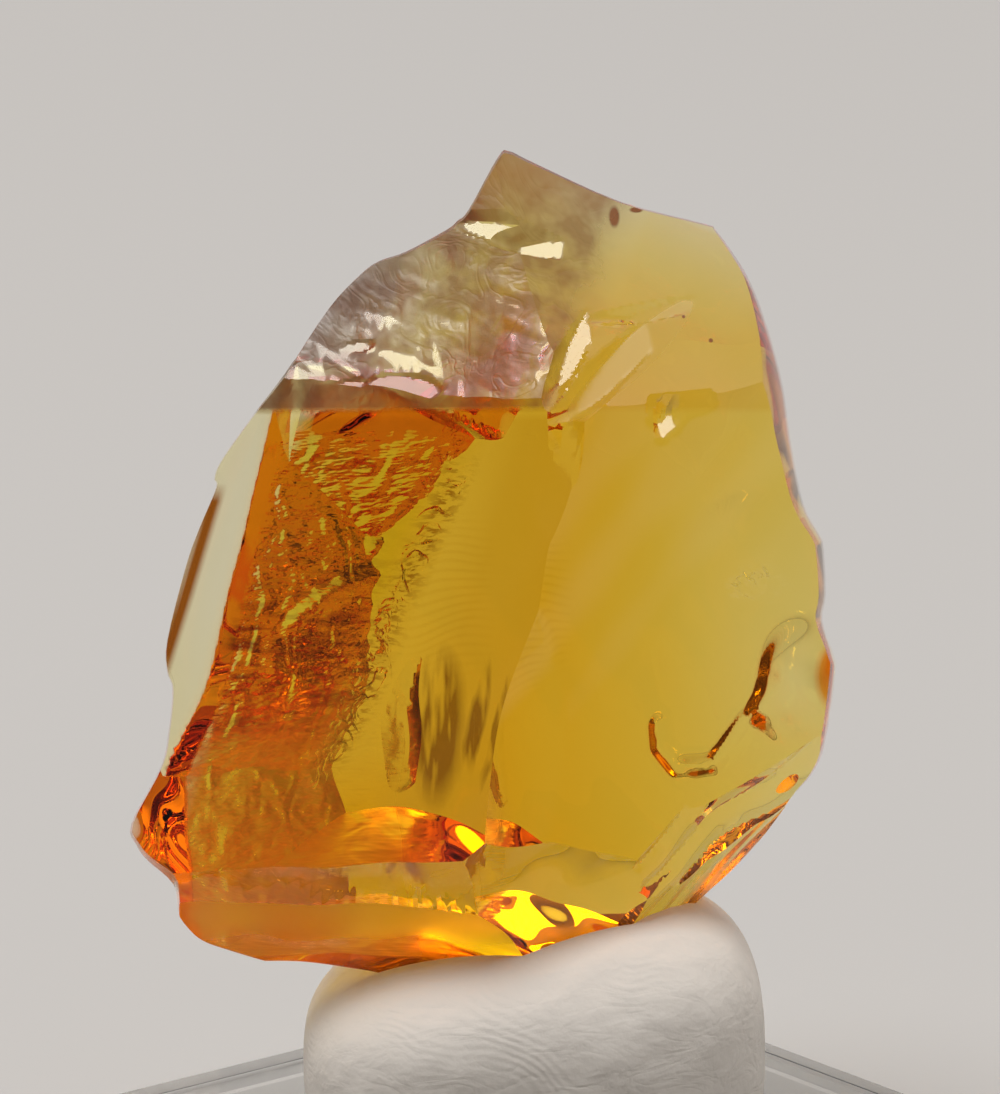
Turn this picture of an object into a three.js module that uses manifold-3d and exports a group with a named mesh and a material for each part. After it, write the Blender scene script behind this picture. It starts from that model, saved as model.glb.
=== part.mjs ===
// A broken lump of golden andara glass, seated in a pad of white display putty
// on a thin square plate of clear acrylic. Millimetres, +Z up, front at -Y.
// The origin is the centre of the plate's underside.
import * as THREE from 'three';
import { mergeVertices } from 'three/addons/utils/BufferGeometryUtils.js';
import Module from 'manifold-3d';

const wasm = await Module();
wasm.setup();

// Driving dimensions.
const plateSide = 50;          // square acrylic plate
const plateThick = 3;
const plateBevel = 0.3;        // broken edges of the plate
const plateTurn = 38.9;        // degrees about Z: a corner points backwards

const puttyWide = 25;          // left to right at its fattest
const puttyDeep = 22;          // front to back
const puttyTall = 15.6;        // of the round lump, before its foot is flattened
const puttyCentre = [0.25, 1.2, 9.6];
const puttySquare = 0.72;      // 1 is a ball, smaller is boxier
const puttySlope = 0.19;       // the top climbs to the right
const restGap = 0.3;           // clearance where one piece rests in another

const crystalSeat = [-1.6, 1.0, 15.3];  // where the crystal's own origin stands
const crystalLean = 14;        // degrees, leaning backwards
const blankDeep = 30;          // thickness of the uncut crystal blank
const blankTaper = 0.35;       // how far the blank narrows at its front and back
const rimSlope = [0.10, 0.09]; // the widest belt drifts backwards to the right and upwards
const cell = 1.5;              // size of the squares on each broken face
const blockTall = 24;          // height of a cutting block

// The crystal's outline as seen from the front, from its peak round clockwise.
// x to the right, z up, from the crystal's own origin at its seat.
const outline = [
  [0.5, 43.4], [1.8, 42.7], [6.5, 40.6], [11.1, 39.4], [11.8, 39.0], [13.5, 36.5],
  [14.6, 33.6], [15.4, 30.5], [15.8, 27.6], [16.5, 24.1], [17.4, 22.4], [17.6, 21.6],
  [17.7, 19.2], [17.5, 17.8], [18.1, 15.9], [18.2, 14.9], [17.6, 11.1], [16.9, 9.5],
  [15.7, 8.1], [14.1, 5.7], [12.2, 3.7], [10.3, 2.1], [8.2, 0.4], [4.6, -0.6],
  [0.6, -1.2], [-3.4, -2.0], [-7.6, -2.5], [-10.8, -1.0], [-12.4, -0.8], [-15.1, 0.0],
  [-16.2, 0.5], [-16.8, 1.2], [-17.2, 2.1], [-17.5, 3.7], [-18.9, 5.0], [-19.5, 5.8],
  [-19.8, 6.9], [-18.2, 10.0], [-17.8, 11.9], [-17.6, 14.1], [-17.9, 15.1], [-17.9, 16.8],
  [-16.9, 20.8], [-16.2, 22.8], [-15.3, 25.0], [-15.4, 25.5], [-15.0, 26.5], [-13.4, 28.8],
  [-11.6, 31.2], [-9.3, 34.7], [-7.5, 36.6], [-6.5, 37.3], [-5.1, 37.8], [-2.9, 39.0],
  [-2.3, 39.5], [-1.7, 40.1], [-0.1, 43.0],
];
const outlineCentre = [0, 18.5];

// Lines along which the glass tore into overlapping flakes, at the back.
const tornTop = [[-11.5, 8, 28], [-6, 8, 27], [-2, 8.5, 26.5], [0, 8.5, 24]];
const tornSide = [[-2.5, 8.5, 25], [-2.5, 8.5, 21], [-5.4, 8.5, 15.5], [-9.2, 8.5, 8.1]];

// Every broken face: a point on it, the way it faces, how far it is hollowed
// over what reach, and what marks it. The body keeps what lies behind them all.
const scars = [
  { name: 'frontLeft', at: [-7, -6.16, 16], out: [-0.294, -0.938, 0.215],
    half: [24, 26], dip: 1.5, reach: [12.5, 16], wobble: 0.07, seed: 1,
    scoops: [{ at: [4.5, -8, 25.5], reach: [3.2, 4.5], deep: 0.6 }] },
  { name: 'frontRight', at: [8, -5.44, 18], out: [0.413, -0.910, 0.005],
    half: [24, 26], dip: 0.7, reach: [10, 14], wobble: 0.06, seed: 2,
    scoops: [{ at: [-0.2, -8, 12], reach: [3.6, 8], deep: 0.7 }] },
  { name: 'shoulder', at: [-3, -2.45, 34], out: [-0.256, -0.870, 0.42],
    half: [18, 9], dip: 0.5, reach: [9, 6], wobble: 0.12, seed: 3,
    torn: [{ line: [[-8, -3, 31], [-2, -2, 34], [3, -2, 33]], width: 6, deep: 0.15,
      turn: 35, long: 6, short: 3 }] },
  { name: 'brow', at: [8, -1.99, 34], out: [0.221, -0.794, 0.566],
    half: [20, 14], dip: 0.4, reach: [6, 6], wobble: 0.06, seed: 4 },
  { name: 'lowerBand', at: [-9.7, -6.6, 3.2], out: [-0.16, -0.84, -0.52],
    half: [24, 12], dip: 0.5, reach: [11, 3], wobble: 0.10, seed: 5 },
  { name: 'lowerMiddle', at: [2.5, -8.2, 5.8], out: [0.322, -0.752, -0.575],
    half: [24, 12], dip: 0.3, reach: [5, 3], wobble: 0.10, seed: 6 },
  { name: 'underLip', at: [-8, -4.9, 1.6], out: [-0.15, -0.6, -0.79],
    half: [24, 12], dip: 0.4, reach: [9, 2.5], wobble: 0.10, seed: 7 },
  { name: 'lowerRight', at: [11, -3.8, 7.2], out: [0.602, -0.685, -0.410],
    half: [22, 14], dip: 0.4, reach: [9, 4], wobble: 0.14, seed: 8 },
  { name: 'backRight', at: [8, 6.8, 18], out: [0.16, 1.0, -0.03],
    half: [28, 32], dip: 0.6, reach: [12, 15], wobble: 0.10, seed: 9,
    scoops: [{ at: [12.6, 5, 16.2], reach: [5.8, 9], deep: 0.8 }] },
  { name: 'backMiddle', at: [-2, 9.2, 16], out: [-0.15, 0.98, 0.08],
    half: [28, 32], dip: 0.5, reach: [11, 14], wobble: 0.12, seed: 10,
    scoops: [{ at: [-1, 8, 17], reach: [4.5, 9], deep: -0.9, turn: -12 }],
    cuts: [{ line: [[-2.0, 8, 14], [-3.2, 8, 11], [-1.6, 8, 7]], deep: 1.9, wide: 1.6 },
      { line: [[0.3, 8, 14], [-0.7, 8, 11.5], [-1.6, 8, 9.5]], deep: 1.4, wide: 1.0 }],
    torn: [{ line: tornTop, width: 2, deep: 0.25, turn: -35, long: 8, short: 2.8 },
      { line: tornSide, width: 2, deep: 0.2, turn: 18, long: 8, short: 2.8 }] },
  { name: 'backLeft', at: [-11, 2.2, 18], out: [-0.25, 0.95, 0.1],
    half: [30, 34], wobble: 0.04, seed: 11,
    planes: [{ at: [-12.0, 1.3, 27], out: [-0.67, 0.71, 0.075], soft: 0 },
      { at: [-14.1, -0.3, 22], out: [0.294, 0.938, -0.186], soft: 0.5 },
      { at: [-16.5, -1.3, 13.0], out: [-0.66, 0.70, 0.27], soft: 0.4 }],
    torn: [{ line: tornTop, width: 2, deep: 0.2, turn: -35, long: 8, short: 2.8 },
      { line: tornSide, width: 3, deep: 0.2, turn: 24, long: 8, short: 2.8 }] },
  { name: 'backAmber', at: [-0.8, 8.3, 26], out: [-0.48, 0.84, 0.45],
    half: [12, 5], dip: 0, reach: [5, 4], wobble: 0.03, seed: 15 },
  { name: 'backLow', at: [-14, 2.3, 7], out: [-0.70, 0.70, -0.12],
    half: [16, 9], dip: 0, reach: [5, 4], wobble: 0.05, seed: 16 },
  { name: 'lipBack', at: [13.9, 2.6, 5.6], out: [0.487, 0.75, -0.445],
    half: [12, 9], dip: 0.15, reach: [8, 3], wobble: 0.10, seed: 17 },
  { name: 'lipFront', at: [12.7, -1.2, 5.9], out: [0.65, -0.40, -0.645],
    half: [12, 8], dip: 0.1, reach: [8, 3], wobble: 0.06, seed: 18 },
  { name: 'underBack', at: [-2, 5.0, 3.5], out: [0, 0.45, -0.89],
    half: [28, 18], dip: 0.5, reach: [12, 6], wobble: 0.08, seed: 12,
    planes: [{ at: [-2, 5.0, 3.9], out: [-0.24, 0.43, -0.87], soft: 0.3 }] },
  { name: 'upperBack', at: [12, 4.4, 38], out: [0.104, 1.0, 0.29],
    half: [30, 16], dip: 0.25, reach: [12, 6], wobble: 0.12, seed: 13 },
  { name: 'backNotch', at: [-8, 1.3, 32], out: [-0.43, 0.89, 0.14],
    half: [18, 14], dip: 0.4, reach: [8, 5], wobble: 0.15, seed: 14,
    planes: [{ at: [-8, 1, 31.0], out: [0.1, 0.35, 0.93], soft: 0.5 }] },
];

// Solids from geometries.

function toSolid(geometry) {
  geometry.deleteAttribute('normal');
  geometry.deleteAttribute('uv');
  const merged = mergeVertices(geometry);
  return new wasm.Manifold(new wasm.Mesh({
    numProp: 3,
    vertProperties: new Float32Array(merged.attributes.position.array),
    triVerts: new Uint32Array(merged.index.array),
  }));
}

function toGeometry(solid) {
  const mesh = solid.getMesh();
  const geometry = new THREE.BufferGeometry();
  geometry.setAttribute('position', new THREE.BufferAttribute(mesh.vertProperties, 3));
  geometry.setIndex(new THREE.BufferAttribute(mesh.triVerts, 1));
  geometry.computeVertexNormals();
  return geometry;
}

// The crystal.

function clamp01(t) {
  return Math.min(1, Math.max(0, t));
}

function softMax(a, b, soft) {
  if (soft <= 0) {
    return Math.max(a, b);
  }
  const t = clamp01(0.5 + 0.5 * (a - b) / soft);
  return b * (1 - t) + a * t + soft * t * (1 - t);
}

// The frame of a broken face: u across it, v up it, n out of it.
function frameOf(scar) {
  const n = new THREE.Vector3(...scar.out).normalize();
  const u = new THREE.Vector3(0, 0, 1).cross(n).normalize();
  const v = new THREE.Vector3().crossVectors(n, u);
  return { origin: new THREE.Vector3(...scar.at), u, v, n };
}

function inFrame(point, frame) {
  const offset = new THREE.Vector3(...point).sub(frame.origin);
  return { offset, u: offset.dot(frame.u), v: offset.dot(frame.v) };
}

function segmentDistance(u, v, a, b) {
  const du = b.u - a.u;
  const dv = b.v - a.v;
  const t = clamp01(((u - a.u) * du + (v - a.v) * dv) / (du * du + dv * dv));
  return Math.hypot(u - a.u - t * du, v - a.v - t * dv);
}

function lineDistance(u, v, points) {
  let near = Infinity;
  for (let i = 1; i < points.length; i += 1) {
    near = Math.min(near, segmentDistance(u, v, points[i - 1], points[i]));
  }
  return near;
}

// Flakes that overlap like torn paper, strongest along a line and fading off it.
function tornHeight(tear, u, v, phase) {
  const near = lineDistance(u, v, tear.points);
  const fade = Math.exp(-((near / tear.width) ** 2));
  const turn = THREE.MathUtils.degToRad(tear.turn);
  const along = u * Math.cos(turn) + v * Math.sin(turn);
  const bend = 0.6 * Math.sin(along * 0.7 + phase) + 0.25 * Math.sin(along * 1.9 + 2 * phase);
  const across = v * Math.cos(turn) - u * Math.sin(turn) + bend;
  const wave = 0.35 * Math.sin(2 * Math.PI * along / tear.long);
  const flake = Math.abs(Math.sin(Math.PI * (across / tear.short + wave))) ** 0.8 - 0.6;
  return tear.deep * fade * flake;
}

// Height of a broken face over its own flat frame.
function scarHeight(scar, frame, u, v) {
  let h = -blockTall;
  if (scar.dip !== undefined) {
    h = -scar.dip * (1 - (u / scar.reach[0]) ** 2 - (v / scar.reach[1]) ** 2);
  }
  for (const plane of scar.planes ?? []) {
    const n = new THREE.Vector3(...plane.out).normalize();
    const rise = inFrame(plane.at, frame).offset.dot(n);
    const slope = rise - u * frame.u.dot(n) - v * frame.v.dot(n);
    h = softMax(h, slope / frame.n.dot(n), plane.soft);
  }
  const phase = scar.seed * 1.7;
  h += scar.wobble * (Math.sin(u * 0.33 + phase) * Math.cos(v * 0.29 + 1.7 * phase)
    + 0.5 * Math.sin(u * 0.71 + v * 0.43 + 2.3 * phase)
    + 0.25 * Math.sin(u * 1.3 - v * 1.1 + phase));
  for (const scoop of scar.scoops ?? []) {
    const centre = inFrame(scoop.at, frame);
    const turn = THREE.MathUtils.degToRad(scoop.turn ?? 0);
    const du = u - centre.u;
    const dv = v - centre.v;
    const across = (du * Math.cos(turn) + dv * Math.sin(turn)) / scoop.reach[0];
    const along = (dv * Math.cos(turn) - du * Math.sin(turn)) / scoop.reach[1];
    h -= scoop.deep * Math.max(0, 1 - across ** 2 - along ** 2);
  }
  for (const cut of scar.cuts ?? []) {
    const points = cut.line.map((point) => inFrame(point, frame));
    h -= cut.deep * Math.exp(-((lineDistance(u, v, points) / cut.wide) ** 2));
  }
  for (const tear of scar.torn ?? []) {
    const points = tear.line.map((point) => inFrame(point, frame));
    h += tornHeight({ ...tear, points }, u, v, phase);
  }
  return Math.min(h, blockTall - 1.5);
}

// A block whose underside is the broken face: taking it away leaves that face.
function cuttingBlock(scar) {
  const frame = frameOf(scar);
  const [halfU, halfV] = scar.half;
  const nu = Math.round(2 * halfU / cell);
  const nv = Math.round(2 * halfV / cell);
  const geometry = new THREE.BoxGeometry(2 * halfU, 2 * halfV, blockTall, nu, nv, 1);
  geometry.translate(0, 0, blockTall / 2);
  const at = geometry.attributes.position;
  for (let i = 0; i < at.count; i += 1) {
    if (at.getZ(i) < blockTall / 2) {
      at.setZ(i, scarHeight(scar, frame, at.getX(i), at.getY(i)));
    }
  }
  const place = new THREE.Matrix4().makeBasis(frame.u, frame.v, frame.n);
  place.setPosition(frame.origin);
  geometry.applyMatrix4(place);
  return toSolid(geometry);
}

// The uncut blank: the outline swept from front to back, fattest at its belt.
function crystalBlank() {
  const steps = 12;
  const points = outline.map(([x, z]) => new THREE.Vector3(x, z, 0));
  const curve = new THREE.CatmullRomCurve3(points, true, 'catmullrom', 0.5);
  const ring = curve.getPoints(outline.length * 2).slice(0, -1);
  const shape = new THREE.Shape(ring.map((p) => new THREE.Vector2(p.x, p.y)));
  const settings = { depth: blankDeep, steps, bevelEnabled: false };
  const geometry = new THREE.ExtrudeGeometry(shape, settings);
  geometry.translate(0, 0, -blankDeep / 2);
  geometry.rotateX(Math.PI / 2);
  const at = geometry.attributes.position;
  for (let i = 0; i < at.count; i += 1) {
    const offX = at.getX(i) - outlineCentre[0];
    const offZ = at.getZ(i) - outlineCentre[1];
    const depth = at.getY(i);
    const narrow = 1 - blankTaper * (Math.abs(depth) / (blankDeep / 2)) ** 1.6;
    const belt = rimSlope[0] * at.getX(i) + rimSlope[1] * offZ;
    at.setXYZ(i, outlineCentre[0] + offX * narrow, depth + belt, outlineCentre[1] + offZ * narrow);
  }
  return toSolid(geometry);
}

function crystalSolid() {
  let solid = crystalBlank();
  for (const scar of scars) {
    solid = solid.subtract(cuttingBlock(scar));
  }
  return solid;
}

// The putty.

function rounded(t) {
  return Math.sign(t) * Math.abs(t) ** puttySquare;
}

function puttySolid(crystal) {
  const geometry = new THREE.SphereGeometry(1, 40, 24);
  geometry.rotateX(Math.PI / 2);
  const at = geometry.attributes.position;
  for (let i = 0; i < at.count; i += 1) {
    const x = rounded(at.getX(i)) * puttyWide / 2;
    const y = rounded(at.getY(i)) * puttyDeep / 2;
    const z = rounded(at.getZ(i)) * puttyTall / 2;
    const climb = z > 0 ? puttySlope * x * (2 * z / puttyTall) : 0;
    at.setXYZ(i, puttyCentre[0] + x, puttyCentre[1] + y, puttyCentre[2] + z + climb);
  }
  const floorBlock = new THREE.BoxGeometry(2 * puttyWide, 2 * puttyDeep, puttyTall);
  floorBlock.translate(0, 0, plateThick + restGap - puttyTall / 2);
  let solid = toSolid(geometry).subtract(toSolid(floorBlock));
  for (const [x, y, z] of [[0, 0, -1], [1, 0, 0], [-1, 0, 0], [0, 1, 0], [0, -1, 0]]) {
    solid = solid.subtract(crystal.translate([x * restGap, y * restGap, z * restGap]));
  }
  return solid;
}

// The plate.

function plateGeometry() {
  const half = plateSide / 2 - plateBevel;
  const shape = new THREE.Shape();
  shape.moveTo(-half, -half);
  shape.lineTo(half, -half);
  shape.lineTo(half, half);
  shape.lineTo(-half, half);
  shape.closePath();
  const geometry = new THREE.ExtrudeGeometry(shape, {
    depth: plateThick - 2 * plateBevel,
    bevelThickness: plateBevel,
    bevelSize: plateBevel,
    bevelSegments: 1,
  });
  geometry.translate(0, 0, plateBevel);
  return toGeometry(toSolid(geometry));
}

// Assembly.

const glass = new THREE.MeshStandardMaterial({
  color: '#cf941c', roughness: 0.05, metalness: 0, transparent: true, opacity: 0.75,
});
const puttyWhite = new THREE.MeshStandardMaterial({
  color: '#e4dbcf', roughness: 0.75, metalness: 0,
});
const clearAcrylic = new THREE.MeshStandardMaterial({
  color: '#e9e4d8', roughness: 0.08, metalness: 0, transparent: true, opacity: 0.35,
});

const crystal = crystalSolid();
const crystalMesh = new THREE.Mesh(toGeometry(crystal), glass);
crystalMesh.name = 'crystal';
crystalMesh.position.set(...crystalSeat);
crystalMesh.rotation.x = THREE.MathUtils.degToRad(-crystalLean);
crystalMesh.updateMatrixWorld(true);

const standing = crystal.rotate([-crystalLean, 0, 0]).translate(crystalSeat);
const puttyMesh = new THREE.Mesh(toGeometry(puttySolid(standing)), puttyWhite);
puttyMesh.name = 'putty';

const plateMesh = new THREE.Mesh(plateGeometry(), clearAcrylic);
plateMesh.name = 'acrylic_plate';
plateMesh.rotation.z = THREE.MathUtils.degToRad(plateTurn);

const part = new THREE.Group();
part.add(crystalMesh, puttyMesh, plateMesh);

export default part;
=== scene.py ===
import math

import bpy
import numpy as np
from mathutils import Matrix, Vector


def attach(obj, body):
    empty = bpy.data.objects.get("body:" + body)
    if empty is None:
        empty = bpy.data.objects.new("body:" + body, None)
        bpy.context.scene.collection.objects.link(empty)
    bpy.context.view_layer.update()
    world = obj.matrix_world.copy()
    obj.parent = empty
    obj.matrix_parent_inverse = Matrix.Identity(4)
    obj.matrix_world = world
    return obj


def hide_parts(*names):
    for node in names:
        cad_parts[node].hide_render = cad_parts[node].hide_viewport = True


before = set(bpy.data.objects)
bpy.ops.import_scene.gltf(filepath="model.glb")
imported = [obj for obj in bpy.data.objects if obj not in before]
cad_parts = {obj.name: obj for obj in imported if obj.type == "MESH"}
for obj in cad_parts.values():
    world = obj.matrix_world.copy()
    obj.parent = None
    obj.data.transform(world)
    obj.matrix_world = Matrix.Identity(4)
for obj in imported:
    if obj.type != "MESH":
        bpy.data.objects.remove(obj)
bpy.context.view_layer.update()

scene = bpy.context.scene
mm = 0.001

# where the crystal stands: its own origin is at its seat, x to the right, y away, z up its length
stance = {
    "seat": (-1.6, 1.0, 15.3),  # mm, in the row's frame
    "lean": 14,                 # degrees, leaning backwards
}
lean = math.radians(stance["lean"])


# small helpers

def say(text):
    print("scene:", text, flush=True)


def deselectAll():
    for other in list(bpy.context.selected_objects):
        other.select_set(False)


def makeActive(obj):
    deselectAll()
    obj.select_set(True)
    bpy.context.view_layer.objects.active = obj


def readPoints(obj):
    points = np.empty(len(obj.data.vertices) * 3)
    obj.data.vertices.foreach_get("co", points)
    return points.reshape(-1, 3)


def writePoints(obj, points):
    obj.data.vertices.foreach_set("co", np.ascontiguousarray(points, dtype=float).ravel())
    obj.data.update()


def editWhole(obj, *steps):
    # runs edit-mode steps on everything in the mesh
    makeActive(obj)
    bpy.ops.object.mode_set(mode="EDIT")
    bpy.ops.mesh.select_all(action="SELECT")
    for step in steps:
        step()
    bpy.ops.object.mode_set(mode="OBJECT")


def turnOutwards():
    bpy.ops.mesh.normals_make_consistent(inside=False)


def applyModifier(obj, kind, **settings):
    makeActive(obj)
    modifier = obj.modifiers.new(kind.title(), kind)
    for key, value in settings.items():
        setattr(modifier, key, value)
    bpy.ops.object.modifier_apply(modifier=modifier.name)


def carve(body, tool):
    applyModifier(body, "BOOLEAN", operation="DIFFERENCE", solver="MANIFOLD", object=tool)
    bpy.data.objects.remove(tool)


def standUp(points):
    # from the crystal's own millimetres to the row's frame in metres
    x, y, z = points[:, 0], points[:, 1], points[:, 2]
    back = y * math.cos(lean) + z * math.sin(lean)
    up = z * math.cos(lean) - y * math.sin(lean)
    return (np.stack([x, back, up], axis=1) + np.array(stance["seat"])) * mm


# shader maths

class Wire:
    # one output socket, with the arithmetic a shader needs
    def __init__(self, graph, socket):
        self.graph = graph
        self.socket = socket

    def math(self, kind, *others, clamp=False):
        return self.graph.node("ShaderNodeMath", {"operation": kind, "use_clamp": clamp},
                               self, *others)

    def __add__(self, other):
        return self.math("ADD", other)

    def __radd__(self, other):
        return self.math("ADD", other)

    def __sub__(self, other):
        return self.math("SUBTRACT", other)

    def __rsub__(self, other):
        return self.graph.node("ShaderNodeMath", {"operation": "SUBTRACT"}, other, self)

    def __mul__(self, other):
        return self.math("MULTIPLY", other)

    def __rmul__(self, other):
        return self.math("MULTIPLY", other)

    def __truediv__(self, other):
        return self.math("DIVIDE", other)

    def sin(self):
        return self.math("SINE")

    def abs(self):
        return self.math("ABSOLUTE")

    def maximum(self, other):
        return self.math("MAXIMUM", other)

    def clamped(self):
        return self.math("ADD", 0.0, clamp=True)

    def above(self, level):
        return self.math("GREATER_THAN", level)

    def rise(self, start, end):
        # 0 before start, 1 after end; start may be the larger one
        return self.math("MULTIPLY_ADD", 1 / (end - start), start / (start - end), clamp=True)

    def ramp(self, start, end, low, high, kind="SMOOTHSTEP"):
        # low before start, high after end
        return self.graph.node("ShaderNodeMapRange", {"interpolation_type": kind}, self,
                               start, end, low, high)


class Graph:
    # the node tree of a material or a world, and a short way to add nodes to it
    def __init__(self, owner):
        owner.use_nodes = True
        self.nodes = owner.node_tree.nodes
        self.links = owner.node_tree.links

    def fill(self, node, key, value):
        socket = node.inputs[key]
        if isinstance(value, Wire):
            self.links.new(value.socket, socket)
        elif value is not None:
            socket.default_value = value

    def node(self, kind, settings, *values, out=0, **named):
        node = self.nodes.new(kind)
        for key, value in settings.items():
            setattr(node, key, value)
        for index, value in enumerate(values):
            self.fill(node, index, value)
        for key, value in named.items():
            self.fill(node, key.replace("_", " "), value)
        return Wire(self, node.outputs[out])

    def axes(self, vector):
        split = self.nodes.new("ShaderNodeSeparateXYZ")
        self.links.new(vector.socket, split.inputs[0])
        return [Wire(self, socket) for socket in split.outputs]

    def noise(self, vector, scale, detail=2.0, roughness=0.5, distortion=0.0):
        return self.node("ShaderNodeTexNoise", {}, Vector=vector, Scale=scale, Detail=detail,
                         Roughness=roughness, Distortion=distortion)


class Finish(Graph):
    # a material
    def __init__(self, name):
        self.material = bpy.data.materials.new(name)
        super().__init__(self.material)
        self.shader = self.nodes["Principled BSDF"]
        self.output = self.nodes["Material Output"]

    def set(self, **named):
        for key, value in named.items():
            self.fill(self.shader, key.replace("_", " "), value)

    def place(self, shift=(0, 0, 0), turn=(0, 0, 0), scale=(1, 1, 1)):
        spot = self.node("ShaderNodeTexCoord", {}, out="Object")
        return self.node("ShaderNodeMapping", {}, spot, Location=shift, Rotation=turn, Scale=scale)

    def blend(self, share, first, second):
        mix = self.nodes.new("ShaderNodeMix")
        mix.data_type = "RGBA"
        # by number, because the factor and both colours share their names with other sockets
        self.fill(mix, 0, share)
        self.fill(mix, 6, first)
        self.fill(mix, 7, second)
        return Wire(self, mix.outputs[2])

    def bump(self, height, distance, strength=1.0, onto=None):
        return self.node("ShaderNodeBump", {}, Height=height, Distance=distance,
                         Strength=strength, Normal=onto)

    def stain(self, shares):
        # the tints laid over each other in turn
        tint = (1, 1, 1, 1)
        for name, share in shares.items():
            tint = self.blend(share, tint, (*tints[name], 1))
        return tint

    def clearGlass(self, tint, rough, relief=None):
        shader = self.nodes.new("ShaderNodeBsdfPrincipled")
        for key, value in (("Base Color", tint), ("Roughness", rough), ("Normal", relief),
                           ("IOR", golden["ior"]), ("Transmission Weight", 1.0)):
            self.fill(shader, key, value)
        return shader.outputs[0]

    def choose(self, share, first, second):
        mix = self.nodes.new("ShaderNodeMixShader")
        self.fill(mix, 0, share)
        self.links.new(first, mix.inputs[1])
        self.links.new(second, mix.inputs[2])
        return mix.outputs[0]

    def soakUp(self, perMetre):
        # plain absorption inside, the same all through
        absorb = self.nodes.new("ShaderNodeVolumeAbsorption")
        density = 1.1 * max(perMetre)   # a little more than the darkest colour takes
        absorb.inputs["Color"].default_value = (*(1 - part / density for part in perMetre), 1)
        absorb.inputs["Density"].default_value = density
        self.links.new(absorb.outputs[0], self.output.inputs["Volume"])


# camera and studio

view = {
    "distance": 360,            # mm from the lens to the middle of the picture
    "pixelsPerMm": 18.5,        # at that distance
    "tall": 1094,               # pixels, the picture's longer side
    "middle": (0, 0, 21.78),    # what the lens looks at, in the crystal's own mm
    "pitch": 14,                # degrees downwards
    "sensor": 36,
    "nearest": 0.01,
}

studio = {
    "floorWide": 12,
    "floorDrop": 0.05,          # mm below the plate, so that the two never share a face
    "floorTone": (0.51, 0.495, 0.48, 1),
    "airTone": (0.525, 0.508, 0.492, 1),
    # each is: from, to, value before, value after
    "behind": (-0.5, 0.25, 0.12, 1.0),      # by y: dim on the viewer's side, bright behind
    "ceiling": (0.25, 0.85, 1, 2.6),        # by z: times brighter overhead
    "horizon": (0.06, 0.16, 1.0, 0),        # by z: a bright strip that flat clear things mirror
    "lamps": {
        # name: place, what it points at, width and height, watts
        "overhead": ((-0.45, -0.25, 1.80), (0, 0, 0.03), (0.85, 0.85), 18),
    },
}


def makeCamera():
    camera = bpy.data.objects.new("camera", bpy.data.cameras.new("camera"))
    scene.collection.objects.link(camera)
    scene.camera = camera
    aim = Vector(standUp(np.array([view["middle"]]))[0])
    pitch = math.radians(view["pitch"])
    ahead = Vector((0, math.cos(pitch), -math.sin(pitch)))
    camera.location = aim - ahead * view["distance"] * mm
    camera.rotation_euler = ahead.to_track_quat("-Z", "Y").to_euler()
    camera.data.sensor_width = view["sensor"]
    camera.data.lens = view["sensor"] * view["pixelsPerMm"] * view["distance"] / view["tall"]
    camera.data.clip_start = view["nearest"]


def makeFloor():
    deselectAll()
    bpy.ops.mesh.primitive_plane_add(size=studio["floorWide"])
    floor = bpy.context.object
    floor.name = "floor"
    floor.location.z = -studio["floorDrop"] * mm
    paint = Finish("pale floor")
    paint.set(Base_Color=studio["floorTone"], Roughness=0.9, Specular_IOR_Level=0.1)
    floor.data.materials.append(paint.material)


def makeAir():
    scene.world = bpy.data.worlds.new("air")
    air = Graph(scene.world)
    x, y, z = air.axes(air.node("ShaderNodeTexCoord", {}, out="Generated"))
    glow = y.ramp(*studio["behind"]) * z.ramp(*studio["ceiling"])
    glow = glow.maximum(z.ramp(*studio["horizon"], kind="LINEAR"))
    air.fill(air.nodes["Background"], "Color", studio["airTone"])
    air.fill(air.nodes["Background"], "Strength", glow)


def makeLamps():
    for name, (place, target, size, watts) in studio["lamps"].items():
        lamp = bpy.data.lights.new(name, "AREA")
        lamp.shape = "RECTANGLE"
        lamp.size, lamp.size_y = size
        lamp.energy = watts
        obj = bpy.data.objects.new(name, lamp)
        scene.collection.objects.link(obj)
        obj.location = place
        aim = Vector(target) - Vector(place)
        obj.rotation_euler = aim.to_track_quat("-Z", "Y").to_euler()


# the crystal

crystal = {
    "cell": 0.26,               # mm, squares on each broken face
    "quickCell": 0.45,
    "blockTall": 24,            # of the block that carves a face
    "blankDeep": 30,            # of the blank, front to back
    "blankTaper": 0.35,         # how much narrower its ends are than its belt
    "rimSlope": (0.10, 0.09),   # how far the belt leans back, per mm of x and of z
    "middle": (0, 18.5),
    "smoothBelow": 22,          # degrees: sharper ridges stay crisp
    "outlineSteps": 4,          # short sides between two points of the outline
    "levels": 17,               # rings from front to back
    "taperCurve": 1.6,
}

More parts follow.
